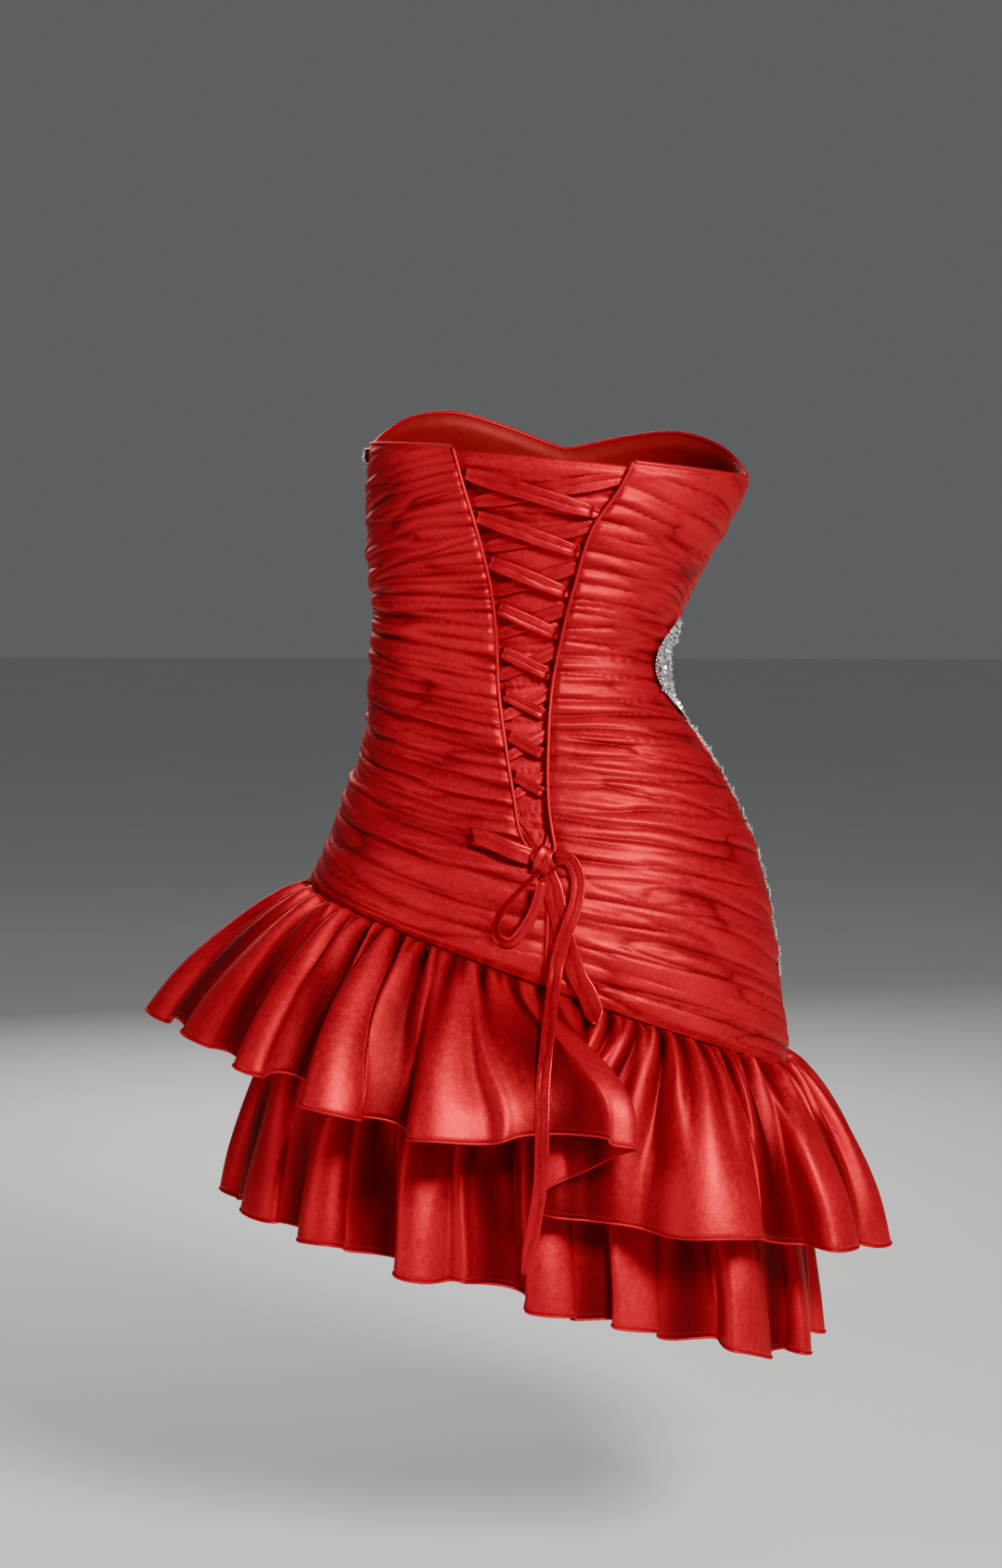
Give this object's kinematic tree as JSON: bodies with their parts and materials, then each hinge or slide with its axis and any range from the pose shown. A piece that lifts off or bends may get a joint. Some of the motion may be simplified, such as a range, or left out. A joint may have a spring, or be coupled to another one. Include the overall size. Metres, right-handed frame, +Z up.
{
  "type": "cocktail dress",
  "caption": "Strapless ruched satin cocktail dress with a lace-up corset back, a tilted hip seam and a two-tier gathered ruffle skirt, hollow as worn.",
  "frame": {"origin": "on the body's axis at bust level, where the wearer's chest fills and holds the bodice", "axes": "+Z up along the body, the front of the dress faces -Y and the laced back faces +Y, +X is the wearer's left"},
  "size_m": [0.5341, 0.3994, 0.6967],
  "materials": {
    "front_panel": "red satin, ruched",
    "back_left_panel": "red satin, ruched",
    "back_right_panel": "red satin, ruched",
    "modesty_panel": "red satin, ruched",
    "underskirt_front": "plain red lining satin",
    "underskirt_back": "plain red lining satin",
    "upper_ruffle_front": "red satin, gathered",
    "upper_ruffle_back": "red satin, gathered",
    "lower_ruffle_front": "red satin, gathered",
    "lower_ruffle_back": "red satin, gathered",
    "lace_a": "flat satin ribbon",
    "lace_b": "flat satin ribbon",
    "bow_knot": "flat satin ribbon",
    "bow_loop_upper": "flat satin ribbon",
    "bow_loop_lower": "flat satin ribbon",
    "lace_tail_short": "flat satin ribbon",
    "lace_tail_long": "flat satin ribbon",
    "side_applique": "beaded net applique",
    "neckline_applique": "beaded net applique"
  },
  "bodies": {
    "root": {"front_panel": "front_panel", "back_left_panel": "back_left_panel", "back_right_panel": "back_right_panel", "modesty_panel": "modesty_panel", "underskirt_front": "underskirt_front", "underskirt_back": "underskirt_back", "upper_ruffle_front": "upper_ruffle_front", "upper_ruffle_back": "upper_ruffle_back", "lower_ruffle_front": "lower_ruffle_front", "lower_ruffle_back": "lower_ruffle_back", "lace_a": "lace_a", "lace_b": "lace_b", "bow_knot": "bow_knot", "bow_loop_upper": "bow_loop_upper", "bow_loop_lower": "bow_loop_lower", "lace_tail_short": "lace_tail_short", "lace_tail_long": "lace_tail_long", "side_applique": "side_applique", "neckline_applique": "neckline_applique"}
  },
  "joints": []
}
